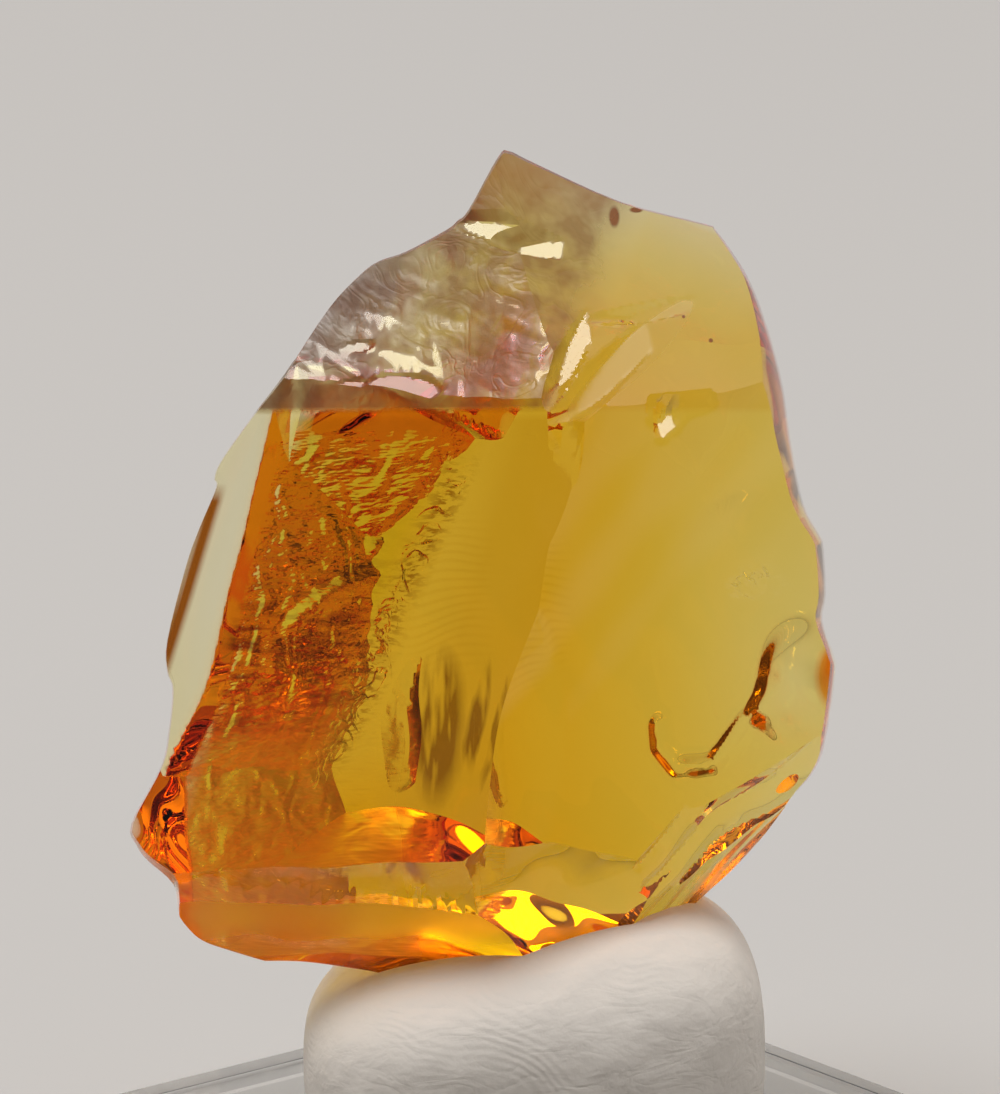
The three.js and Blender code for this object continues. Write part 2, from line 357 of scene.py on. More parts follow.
# the outline from the front, from the peak round clockwise: x and z in mm
outline = [
    (0.5, 43.31), (1.8, 42.7), (6.5, 40.6), (11.1, 39.4), (11.8, 39.0), (13.5, 36.5),
    (14.6, 33.6), (15.4, 30.5), (15.8, 27.6), (16.5, 24.1), (17.4, 22.4), (17.6, 21.6),
    (17.7, 19.2), (17.5, 17.8), (18.1, 15.9), (18.2, 14.9), (17.6, 11.1), (16.9, 9.5),
    (15.7, 8.1), (14.1, 5.7), (12.2, 3.7), (10.3, 2.1), (8.2, 0.4), (4.6, -0.6),
    (0.6, -1.2), (-3.4, -2.0), (-7.6, -2.5), (-10.8, -1.0), (-12.4, -0.8), (-15.1, 0.0),
    (-16.2, 0.5), (-16.8, 1.2), (-17.2, 2.1), (-17.5, 3.7), (-18.9, 5.0), (-19.5, 5.8),
    (-19.8, 6.9), (-18.2, 10.0), (-17.8, 11.9), (-17.6, 14.1), (-17.9, 15.1), (-17.9, 16.8),
    (-16.9, 20.8), (-16.2, 22.8), (-15.3, 25.0), (-15.4, 25.5), (-15.0, 26.5), (-13.4, 28.8),
    (-11.6, 31.2), (-9.3, 34.7), (-7.5, 36.6), (-6.5, 37.3), (-5.1, 37.8), (-2.9, 39.0),
    (-2.3, 39.5), (-1.7, 40.1), (-0.1, 43.0),
]

# lines along which the glass tore into overlapping flakes, at the back
tornTop = [(-11.5, 8, 28), (-6, 8, 27), (-2, 8.5, 26.5), (0, 8.5, 24)]
tornSide = [(-2.5, 8.5, 25), (-2.5, 8.5, 21), (-5.4, 8.5, 15.5), (-9.2, 8.5, 8.1)]

# small facets turned to the overhead light
glint = (-0.148, -0.826, 0.544)

# the leaf-shaped pits at the back, tilted enough to turn the light back inside
fin = (-0.62, 0.78, 0.05)

# every broken face: a point on it, the way it faces, its hollow, and what marks it
scars = [
    {"name": "frontLeft", "at": (-7, -6.16, 16), "out": (-0.294, -0.938, 0.215),
     "half": (24, 26), "dip": 1.5, "reach": (12.5, 16), "wobble": 0.07, "seed": 1,
     "scoops": [{"at": (4.5, -8, 25.5), "reach": (3.2, 4.5), "deep": 0.6}],
     "chips": [{"at": (3.1, -8, 26.6), "size": (0.6, 2.2), "turn": 4, "deep": 0.3,
                "out": (0.10, -0.93, 0.36)}]},
    {"name": "frontRight", "at": (8, -5.44, 18), "out": (0.413, -0.910, 0.005),
     "half": (24, 26), "dip": 0.7, "reach": (10, 14), "wobble": 0.06, "seed": 2,
     "scoops": [{"at": (-0.2, -8, 12), "reach": (3.6, 8), "deep": 0.7}],
     "chips": [{"at": (9.5, -4, 29.6), "size": (1.8, 2.6), "turn": -15, "deep": 0.25,
                "out": (0.30, -0.93, 0.2)},
               {"at": (8.8, -4, 28.1), "size": (0.45, 0.8), "turn": -20, "deep": 0.3,
                "out": glint}]},
    {"name": "shoulder", "at": (-3, -2.45, 34), "out": (-0.256, -0.870, 0.42),
     "half": (18, 9), "dip": 0.5, "reach": (9, 6), "wobble": 0.12, "seed": 3, "fine": 0.55,
     "torn": [{"line": [(-8, -3, 31), (-2, -2, 34), (3, -2, 33)], "width": 6, "deep": 0.06,
               "turn": 35, "long": 3.1, "short": 2.9}],
     "chips": [{"at": (1.1, -1, 38.6), "size": (3.4, 0.7), "turn": -10, "deep": 0.45, "out": glint},
               {"at": (-5.1, -3, 30.2), "size": (2.0, 0.8), "turn": -6, "deep": 0.15, "out": glint},
               {"at": (4.2, -2, 31.9), "size": (2.9, 0.6), "turn": 66, "deep": 0.2,
                "out": (-0.09, -0.875, 0.475)},
               {"at": (-8.5, -3, 30.6), "size": (1.1, 0.4), "turn": 14, "deep": 0.1, "out": glint},
               {"at": (-8.0, -2, 32.8), "size": (0.9, 0.35), "turn": 10, "deep": 0.1,
                "out": glint}]},
    {"name": "brow", "at": (8, -1.99, 34), "out": (0.221, -0.794, 0.566),
     "half": (18, 11), "dip": 0.4, "reach": (6, 6), "wobble": 0.06, "seed": 4, "fine": 0.6,
     "chips": [{"at": (6.9, -2, 31.8), "size": (4.9, 0.8), "turn": 45, "deep": 0.3,
                "out": (0.0, -0.83, 0.555)},
               {"at": (3.9, -2, 31.8), "size": (2.9, 0.5), "turn": 62, "deep": 0.3,
                "out": (-0.12, -0.83, 0.545)},
               {"at": (3.0, -1, 38.2), "size": (1.8, 0.6), "turn": -14, "deep": 0.3, "out": glint},
               {"at": (9.6, -2, 35.6), "size": (2.4, 0.5), "turn": 12, "deep": 0.16,
                "out": (0.05, -0.83, 0.55)}]},
    {"name": "lowerBand", "at": (-9.7, -6.6, 3.2), "out": (-0.16, -0.84, -0.52),
     "half": (24, 12), "dip": 0.5, "reach": (11, 3), "wobble": 0.10, "seed": 5,
     "ribs": [{"from": (-6, -9, 12), "deep": 0.12, "count": 42, "start": 6, "ramp": 3,
               "near": (-3, -7, 3), "size": (7, 4)}]},
    {"name": "lowerMiddle", "at": (2.5, -8.2, 5.8), "out": (0.322, -0.752, -0.575),
     "half": (24, 12), "dip": 0.3, "reach": (5, 3), "wobble": 0.10, "seed": 6},
    {"name": "underLip", "at": (-8, -4.9, 1.6), "out": (-0.15, -0.6, -0.79),
     "half": (24, 12), "dip": 0.4, "reach": (9, 2.5), "wobble": 0.10, "seed": 7},
    {"name": "lowerRight", "at": (11, -3.8, 7.2), "out": (0.602, -0.685, -0.410),
     "half": (22, 14), "dip": 0.4, "reach": (9, 4), "wobble": 0.14, "seed": 8,
     "ribs": [{"from": (-4, -9, -6), "deep": 0.26, "count": 34, "start": 8, "ramp": 6}]},
    {"name": "backRight", "at": (8, 6.8, 18), "out": (0.16, 1.0, -0.03),
     "half": (28, 32), "dip": 0.6, "reach": (12, 15), "wobble": 0.10, "seed": 9, "fine": 0.75,
     "scoops": [{"at": (12.6, 5, 16.2), "reach": (5.8, 9), "deep": 0.8},
                {"at": (15.4, 5, 15.2), "reach": (2.5, 3.5), "deep": 1.2, "turn": 20,
                 "edge": 2},
                {"at": (14.3, 5, 12.6), "reach": (1.9, 2.4), "deep": 0.8, "turn": -35,
                 "edge": 2},
                {"at": (16.4, 5, 13.2), "reach": (2.0, 3.0), "deep": 0.9, "turn": -20,
                 "edge": 2}],
     "cuts": [{"line": [(7.1, 6, 12.0), (7.3, 6, 10.7), (8.3, 6, 9.6), (10.6, 6, 9.8)],
               "deep": 0.5, "wide": 0.55},
              {"line": [(11.0, 5, 10.4), (12.4, 5, 12.2), (13.4, 5, 12.8)], "deep": 0.45,
               "wide": 0.55}]},
    {"name": "backMiddle", "at": (-2, 9.2, 16), "out": (-0.15, 0.98, 0.08),
     "half": (28, 32), "dip": 0.5, "reach": (11, 14), "wobble": 0.12, "seed": 10,
     "scoops": [{"at": (-1, 8, 17), "reach": (4.5, 9), "deep": -0.9, "turn": -12}],
     "chips": [{"at": (-2.3, 8, 11), "size": (1.3, 4.0), "turn": 6, "deep": 0.9, "out": fin},
               {"at": (0.2, 8, 12.6), "size": (0.9, 3.0), "turn": 22, "deep": 0.7, "out": fin}],
     "torn": [{"line": tornTop, "width": 1.6, "deep": 0.18, "turn": -35, "long": 6, "short": 1.6},
              {"line": tornSide, "width": 1.2, "deep": 0.12, "turn": 18, "long": 5, "short": 1.4}]},
    {"name": "backLeft", "at": (-11, 2.2, 18), "out": (-0.25, 0.95, 0.1),
     "half": (30, 34), "wobble": 0.04, "seed": 11,
     "planes": [{"at": (-12.0, 1.3, 27), "out": (-0.67, 0.71, 0.075), "soft": 0},
                {"at": (-14.1, -0.3, 22), "out": (0.294, 0.938, -0.186), "soft": 0.5},
                {"at": (-16.5, -1.3, 13.0), "out": (-0.66, 0.70, 0.27), "soft": 0.4}],
     "cuts": [{"line": [(-9.1, 2, 25.8), (-5.2, 6, 24.2)], "deep": 0.35, "wide": 0.55},
              {"line": [(-10, 1, 17.2), (-7, 4, 18.9), (-4.1, 7, 19.9)], "deep": 0.3, "wide": 0.5},
              {"line": [(-5.1, 6, 21.1), (-2.5, 8, 22.9), (0, 9, 23.7)], "deep": 0.4, "wide": 0.5},
              {"line": [(-19, 0, 9.0), (-13, 2, 10.6), (-9, 5, 12)], "deep": 0.07, "wide": 0.3},
              {"line": [(-19, 0, 6.4), (-13, 2, 7.8), (-8, 5, 8.8)], "deep": 0.07, "wide": 0.3}],
     "torn": [{"line": tornTop, "width": 1.5, "deep": 0.12, "turn": -35, "long": 6, "short": 1.8},
              {"line": tornSide, "width": 2.8, "deep": 0.10, "turn": 24, "long": 7, "short": 1.6}]},
    {"name": "backAmber", "at": (-0.8, 8.3, 26), "out": (-0.48, 0.84, 0.45),
     "half": (12, 5), "dip": 0, "reach": (5, 4), "wobble": 0.03, "seed": 15},
    {"name": "backLow", "at": (-14, 2.3, 7), "out": (-0.70, 0.70, -0.12),
     "half": (16, 9), "dip": 0, "reach": (5, 4), "wobble": 0.05, "seed": 16},
    {"name": "lipBack", "at": (13.9, 2.6, 5.6), "out": (0.487, 0.75, -0.445),
     "half": (12, 9), "dip": 0.15, "reach": (8, 3), "wobble": 0.10, "seed": 17},
    {"name": "lipFront", "at": (12.7, -1.2, 5.9), "out": (0.65, -0.40, -0.645),
     "half": (12, 8), "dip": 0.1, "reach": (8, 3), "wobble": 0.06, "seed": 18,
     "ribs": [{"from": (30, -2, 24), "deep": 0.10, "count": 60, "start": 8, "ramp": 6}]},
    {"name": "underBack", "at": (-2, 5.0, 3.5), "out": (0, 0.45, -0.89),
     "half": (28, 18), "dip": 0.5, "reach": (12, 6), "wobble": 0.08, "seed": 12,
     "planes": [{"at": (-2, 5.0, 3.9), "out": (-0.24, 0.43, -0.87), "soft": 0.3}]},
    {"name": "upperBack", "at": (12, 4.4, 38), "out": (0.104, 1.0, 0.29),
     "half": (30, 16), "dip": 0.25, "reach": (12, 6), "wobble": 0.12, "seed": 13},
    {"name": "backNotch", "at": (-8, 1.3, 32), "out": (-0.43, 0.89, 0.14),
     "half": (18, 14), "dip": 0.4, "reach": (8, 5), "wobble": 0.15, "seed": 14,
     "planes": [{"at": (-8, 1, 31.0), "out": (0.1, 0.35, 0.93), "soft": 0.5}]},
]


def unit(vector):
    vector = np.array(vector, dtype=float)
    return vector / np.linalg.norm(vector)


class FaceFrame:
    # u across a broken face, v up it, n out of it
    def __init__(self, scar):
        self.origin = np.array(scar["at"], dtype=float)
        self.n = unit(scar["out"])
        self.u = unit(np.cross((0, 0, 1), self.n))
        self.v = np.cross(self.n, self.u)

    def flat(self, point):
        offset = np.array(point, dtype=float) - self.origin
        return offset @ self.u, offset @ self.v


def softMax(a, b, soft):
    if soft <= 0:
        return np.maximum(a, b)
    t = np.clip(0.5 + 0.5 * (a - b) / soft, 0, 1)
    return b * (1 - t) + a * t + soft * t * (1 - t)


def nearLine(u, v, points):
    near = np.full(u.shape, 1e9)
    for (u0, v0), (u1, v1) in zip(points[:-1], points[1:]):
        du, dv = u1 - u0, v1 - v0
        t = np.clip(((u - u0) * du + (v - v0) * dv) / (du * du + dv * dv), 0, 1)
        near = np.minimum(near, np.hypot(u - u0 - t * du, v - v0 - t * dv))
    return near


def flakes(tear, face, u, v, phase):
    # overlapping flakes, strongest along a line and fading off it
    near = nearLine(u, v, [face.flat(point) for point in tear["line"]])
    fade = np.exp(-(near / tear["width"]) ** 2)
    turn = math.radians(tear["turn"])
    along = u * math.cos(turn) + v * math.sin(turn)
    bend = 0.6 * np.sin(along * 0.7 + phase) + 0.25 * np.sin(along * 1.9 + 2 * phase)
    across = v * math.cos(turn) - u * math.sin(turn) + bend
    wave = 0.35 * np.sin(2 * math.pi * along / tear["long"])
    big = np.abs(np.sin(math.pi * (across / tear["short"] + wave))) ** 0.8 - 0.6
    finer = 0.5 * np.sin(2 * math.pi * along / (tear["long"] * 0.6) + 1)
    small = np.abs(np.sin(math.pi * (across / (tear["short"] * 0.55) + finer))) - 0.6
    return tear["deep"] * fade * (big + 0.35 * small)


def ribs(rib, face, u, v):
    # fine spokes running away from the point where the crack began
    u0, v0 = face.flat(rib["from"])
    away = np.hypot(u - u0, v - v0)
    angle = np.arctan2(v - v0, u - u0)
    grow = np.clip((away - rib["start"]) / rib["ramp"], 0, 1)
    if "near" in rib:
        u1, v1 = face.flat(rib["near"])
        grow = grow * np.exp(-((u - u1) / rib["size"][0]) ** 2 - ((v - v1) / rib["size"][1]) ** 2)
    spokes = np.abs(np.sin(angle * rib["count"] + 0.6 * np.sin(away * 0.8)))
    return rib["deep"] * grow * (spokes - 0.5)


def grooves(cut, face, u, v):
    # one long groove with a rounded floor
    near = nearLine(u, v, [face.flat(point) for point in cut["line"]])
    return -cut["deep"] * np.exp(-(near / cut["wide"]) ** 2)


def chipped(chip, face, u, v, height):
    # a small flat facet let into the face
    n = unit(chip["out"])
    u0, v0 = face.flat(chip["at"])
    base = height[np.argmin(np.hypot(u - u0, v - v0))] - chip["deep"]
    flat = base - ((u - u0) * (face.u @ n) + (v - v0) * (face.v @ n)) / (face.n @ n)
    turn = math.radians(chip.get("turn", 0))
    across = ((u - u0) * math.cos(turn) + (v - v0) * math.sin(turn)) / chip["size"][0]
    along = ((v - v0) * math.cos(turn) - (u - u0) * math.sin(turn)) / chip["size"][1]
    wall = 2 * min(chip["size"]) * np.maximum(0, np.hypot(across, along) - 1)
    return np.minimum(height, flat + wall)


def scarHeight(scar, face, u, v):
    height = np.full(u.shape, -float(crystal["blockTall"]))
    if "dip" in scar:
        height = -scar["dip"] * (1 - (u / scar["reach"][0]) ** 2 - (v / scar["reach"][1]) ** 2)
    for plane in scar.get("planes", []):
        n = unit(plane["out"])
        rise = (np.array(plane["at"], dtype=float) - face.origin) @ n
        slope = (rise - u * (face.u @ n) - v * (face.v @ n)) / (face.n @ n)
        height = softMax(height, slope, plane["soft"])
    # slow waves, so that no broken face is quite flat
    phase = scar["seed"] * 1.7
    height = height + scar["wobble"] * (np.sin(u * 0.33 + phase) * np.cos(v * 0.29 + 1.7 * phase)
                                        + 0.5 * np.sin(u * 0.71 + v * 0.43 + 2.3 * phase)
                                        + 0.25 * np.sin(u * 1.3 - v * 1.1 + phase))
    for scoop in scar.get("scoops", []):
        u0, v0 = face.flat(scoop["at"])
        turn = math.radians(scoop.get("turn", 0))
        across = ((u - u0) * math.cos(turn) + (v - v0) * math.sin(turn)) / scoop["reach"][0]
        along = ((v - v0) * math.cos(turn) - (u - u0) * math.sin(turn)) / scoop["reach"][1]
        bowl = np.maximum(0, 1 - across ** 2 - along ** 2) ** scoop.get("edge", 1)
        height = height - scoop["deep"] * bowl
    for cut in scar.get("cuts", []):
        height = height + grooves(cut, face, u, v)
    for tear in scar.get("torn", []):
        height = height + flakes(tear, face, u, v, phase)
    for rib in scar.get("ribs", []):
        height = height + ribs(rib, face, u, v)
    for chip in scar.get("chips", []):
        height = chipped(chip, face, u, v, height)
    return height


def cuttingBlock(scar, cell):
    # a grid shaped to the broken face and drawn out into a block that carves it
    face = FaceFrame(scar)
    halfU, halfV = scar["half"]
    cell = cell * scar.get("fine", 1)
    deselectAll()
    bpy.ops.mesh.primitive_grid_add(x_subdivisions=round(2 * halfU / cell),
                                    y_subdivisions=round(2 * halfV / cell), size=2)
    block = bpy.context.object
    block.name = scar["name"]
    flat = readPoints(block)
    u, v = flat[:, 0] * halfU, flat[:, 1] * halfV
    height = scarHeight(scar, face, u, v)
    spot = face.origin + np.outer(u, face.u) + np.outer(v, face.v) + np.outer(height, face.n)
    writePoints(block, spot)
    outwards = {"value": tuple(face.n * crystal["blockTall"])}
    editWhole(block, lambda: bpy.ops.mesh.extrude_region_move(TRANSFORM_OT_translate=outwards))
    editWhole(block, turnOutwards)
    return block


def splineRing(points, steps):
    # a smooth closed line through the points
    points = np.array(points, dtype=float)
    ring = []
    for i in range(len(points)):
        p0, p1, p2, p3 = (points[(i + k) % len(points)] for k in (-1, 0, 1, 2))
        for t in np.arange(steps) / steps:
            ring.append(0.5 * (2 * p1 + (p2 - p0) * t + (2 * p0 - 5 * p1 + 4 * p2 - p3) * t ** 2
                               + (3 * p1 - p0 - 3 * p2 + p3) * t ** 3))
    return np.array(ring)


def crystalBlank():
    # the outline swept from front to back, fattest at its belt
    ring = splineRing(outline, crystal["outlineSteps"])
    deep = crystal["blankDeep"]
    levels = np.linspace(-deep / 2, deep / 2, crystal["levels"])
    deselectAll()
    bpy.ops.mesh.primitive_circle_add(vertices=len(ring), fill_type="NGON")
    blank = bpy.context.object
    blank.name = "golden_crystal"
    flat = readPoints(blank)
    flat[:] = np.stack([ring[:, 0], np.full(len(ring), levels[0]), ring[:, 1]], axis=1)
    writePoints(blank, flat)
    step = {"value": (0, levels[1] - levels[0], 0)}
    makeActive(blank)
    bpy.ops.object.mode_set(mode="EDIT")
    bpy.ops.mesh.select_all(action="SELECT")
    for level in levels[1:]:
        bpy.ops.mesh.extrude_region_move(TRANSFORM_OT_translate=step)
    bpy.ops.object.mode_set(mode="OBJECT")
    points = readPoints(blank)
    fromBelt = np.abs(points[:, 1]) / (deep / 2)
    narrow = 1 - crystal["blankTaper"] * fromBelt ** crystal["taperCurve"]
    middle = np.array(crystal["middle"])
    across, up = points[:, 0] - middle[0], points[:, 2] - middle[1]
    belt = crystal["rimSlope"][0] * points[:, 0] + crystal["rimSlope"][1] * up
    points = np.stack([middle[0] + across * narrow, points[:, 1] + belt,
                       middle[1] + up * narrow], axis=1)
    writePoints(blank, points)
    editWhole(blank, bpy.ops.mesh.quads_convert_to_tris, turnOutwards)
    return blank


# how the glass is finished: places are x and z in the crystal's own mm
golden = {
    "ior": 1.5,
    "absorb": (3.0, 40.5, 262),     # per metre, for red, green and blue
    "belt": (0.09, -1.1),           # y of the belt from front to back: per mm of z, and at z 0
    "beltFade": 0.3,
    "relief": 0.00012,              # metres, how deep the bumps may go
    "lampMirror": (-0.148, -0.670, 0.728),  # the normal that mirrors the overhead lamp
    # where a thing fades in, from the first number to the second
    "mirrorFade": (0.994, 0.998),
    "leftFacing": (0.1, 0),         # by the normal's x
    "heldUnder": (-0.35, -0.6),     # by the normal's z
    "shelf": (28.9, 29.3),
    "underShelf": (28.9, 28.5),
    "amberFoot": (11, 8),
    "amberHigh": (12, 20),
    "steepedFrom": (5.5, 7.5),
    "brownTip": (39.0, 42.0),
    "hacklyLeft": (-1, -5),
    "hacklyLow": (14, 10),
    "heldBelow": (6, 4),
    "rippledBetween": ((-4.5, -2.5), (1.8, -0.2)),
    # outside these the glass has no marks but the brow's and the specks
    "markedLeft": (3.8, 3.7),
    "markedLow": (4.6, 4.5),
    "markedShoulder": (0.8, 0.7),
}

# sloping lines on the front view: x at a height z, x gained per mm of z, and the fade across it
lines = {
    "shoulder": {"x": 3.9, "z": 28.6, "slope": 0.33, "fade": (0.6, -2.2)},
    "seam": {"x": -3.2, "z": 20, "slope": 0.42, "fade": (1.6, 0.2)},
    "amberLeft": {"x": -15.5, "z": 14.7, "slope": 0.3, "fade": (0, 1.2)},
    "amberRight": {"x": -4.4, "z": 18, "slope": 0.42, "fade": (0, -3)},
    "steeped": {"x": -4.8, "z": 16, "slope": 0.3, "fade": (0, 2.5)},
    "torn": {"x": -3.4, "z": 18, "slope": 0.42, "fade": (0, -2)},
    "edging": {"x": -15.4, "z": 25, "slope": 0.3, "fade": (-0.3, 0.1), "end": (0.8, 0.4)},
}

# marks with an oval outline: middle, half width and half height, turn in radians, and fade
ovals = {
    "fan": {"at": (7.0, 31.8), "size": (5, 1), "turn": -0.77, "fade": (1.0, 0.8)},
    "bead": {"at": (18.2, 14.8), "size": (1.378, 2.098), "fade": (1.0, 0.5)},
    "pitted": {"at": (14.0, 19.8), "size": (2.0, 1.14), "fade": (1.0, 0.3)},
    "stain": {"at": (-13.6, 16.4), "size": (1.0, 2.4), "fade": (1.2, 0.5)},
}
darkFlecks = [
    {"at": (6.2, 39.7), "size": (0.32, 0.65), "fade": (1.2, 0.5)},
    {"at": (7.4, 40.1), "size": (0.4, 0.18), "fade": (1.2, 0.5)},
    {"at": (11.35, 32.9), "size": (0.13, 0.13), "fade": (1.2, 0.5)},
    {"at": (9.9, 34.2), "size": (0.1, 0.1), "fade": (1.2, 0.5)},
]
# leaf-shaped patches of painted shade, in front of the pits at the back that turn the light back
# inside
finShadeLeaves = [
    {"at": (-3.2, 12.2), "size": (1.5, 4.4), "turn": 0.06, "fade": (1.1, 0.4), "share": 1.0},
    {"at": (-1.2, 12.6), "size": (0.5, 3.3), "turn": 0.2, "fade": (1.1, 0.4), "share": 1.0},
    {"at": (-0.1, 12.4), "size": (0.3, 3.7), "turn": 0.25, "fade": (1.1, 0.4), "share": 0.9},
]

# textures in the glass; a grain is stretched along the directions its scale is small in
grains = {
    "frost": {"size": 0.55, "detail": 2, "roughness": 0.65},
    "curl": {"size": 0.35, "detail": 2, "distortion": 1.6},
    "crumb": {"size": 2.4, "detail": 2, "roughness": 0.6},
    "swell": {"size": 0.42, "detail": 1, "distortion": 0.8},
    "streaks": {"turn": 0.1, "scale": (1.3, 0.5, 0.16), "size": 0.9, "detail": 2,
                "roughness": 0.6},
    "seamCrumbs": {"turn": -0.8, "scale": (0.5, 1, 1.8), "size": 2.2, "detail": 2,
                   "roughness": 0.6},
    "flames": {"turn": -0.35, "scale": (0.22, 0.6, 1.5), "size": 1.2, "detail": 2,
               "roughness": 0.65},
}

# the heights between which a mark shows: where it fades in, and where it fades out
bands = {
    "seam": ((7, 9), (27, 25)),
    "rippled": ((13, 16), (24, 21)),
    "torn": ((9, 13), (28, 26)),
    "flaming": ((10.5, 13), (23, 18)),
    "edging": ((13, 14), (25.2, 24.2)),
}

# the tint of each mark; light takes it once for each face it crosses
tints = {
    "crazed": (0.27, 0.15, 0.10),
    "brown": (0.36, 0.14, 0.06),
    "brow": (0.92, 0.78, 0.42),
    "amber": (1.0, 0.84, 0.03),
    "amberHigh": (0.72, 0.66, 0.03),
    "steeped": (0.84, 0.74, 0.40),
    "rippled": (0.72, 0.60, 0.35),
    "flecks": (0.16, 0.03, 0.01),
    # the dark leaf tint is painted shade over the leaf-shaped pits at the back
    "leaves": (0.17, 0.09, 0.01),
    "seam": (0.30, 0.17, 0.02),
    "flaming": (0.25, 0.09, 0.01),
    "stain": (0.16, 0.05, 0.01),
    "edging": (0.40, 0.12, 0.01),
    "bead": (0.95, 0.30, 0.03),
}

# how rough each part of the surface is
roughOf = {
    "crazed": 0.28,
    "frost": 0.28,              # added where the shoulder is frosted
    "seam": 0.12,
    "torn": 0.07,
    "hackly": 0.38,
    "fan": 0.4,
    "held": 0.6,
}

# where a texture's value turns a mark on
speckle = {
    "crazed": (0.3, 0.6),
    "frosted": (0.4, 0.7),
    "leaves": (0.36, 0.5),
    "bead": (0.35, 0.5),
    "seam": (0.5, 0.6),
    "flaming": (0.5, 0.6),
    "stain": (0.4, 0.55),
    "ripples": (-0.2, 1),
    "cracks": (0, 0.07),
}

# how strong a tint or a relief is, from 0 to 1, where it isn't whole
strength = {
    "crazedPlain": 0.6,         # and the rest where the frost is thick
    "brown": 0.8,
    "rippled": 0.35,
    "flaming": 0.8,
    "crazedRelief": 0.14,
    "hacklyRelief": 0.9,
}

# the heights of the reliefs, beside that of the one they are added to
crumbHeight = 0.9
swellHeight = 2.2
leafSway = 0.8                  # mm that the streaks push a leaf's edge about
ripples = {
    "length": 0.5,              # mm from crest to crest
    "lean": 0.12,               # mm down for each mm to the right
    "bend": (0.9, 0.3, 0.25),   # radians per mm of x and of z, and mm of bend
}


class Marks:
    # masks drawn on the front view of the crystal, 1 inside and 0 outside
    def __init__(self, x, z):
        self.x = x
        self.z = z

    def rightOf(self, name):
        # mm to the right of a sloping line
        line = lines[name]
        return self.x - (line["x"] + line["slope"] * (self.z - line["z"]))

    def side(self, name):
        return self.rightOf(name).rise(*lines[name]["fade"])

    def band(self, name):
        fadeIn, fadeOut = bands[name]
        return self.z.rise(*fadeIn) * self.z.rise(*fadeOut)

    def oval(self, mark, wander=None):
        across, along = self.x - mark["at"][0], self.z - mark["at"][1]
        if "turn" in mark:
            cosine, sine = math.cos(mark["turn"]), math.sin(mark["turn"])
            across, along = across * cosine - along * sine, along * cosine + across * sine
        if wander is not None:
            across = across + wander
        wide, tall = mark["size"]
        reach = across * across / wide ** 2 + along * along / tall ** 2
        return reach.rise(*mark["fade"])


def texture(glass, spot, look):
    if "turn" in look:
        spot = glass.node("ShaderNodeMapping", {}, spot, Rotation=(0, look["turn"], 0),
                          Scale=look["scale"])
    return glass.noise(spot, look["size"], look["detail"], look.get("roughness", 0.5),
                       look.get("distortion", 0.0))


def crystalSpot(glass):
    # the material reads the crystal's own millimetres
    across, away, up = stance["seat"]
    shift = (-across, up * math.sin(lean) - away * math.cos(lean),
             -(away * math.sin(lean) + up * math.cos(lean)))
    return glass.place(shift, (lean, 0, 0), (1 / mm, 1 / mm, 1 / mm))


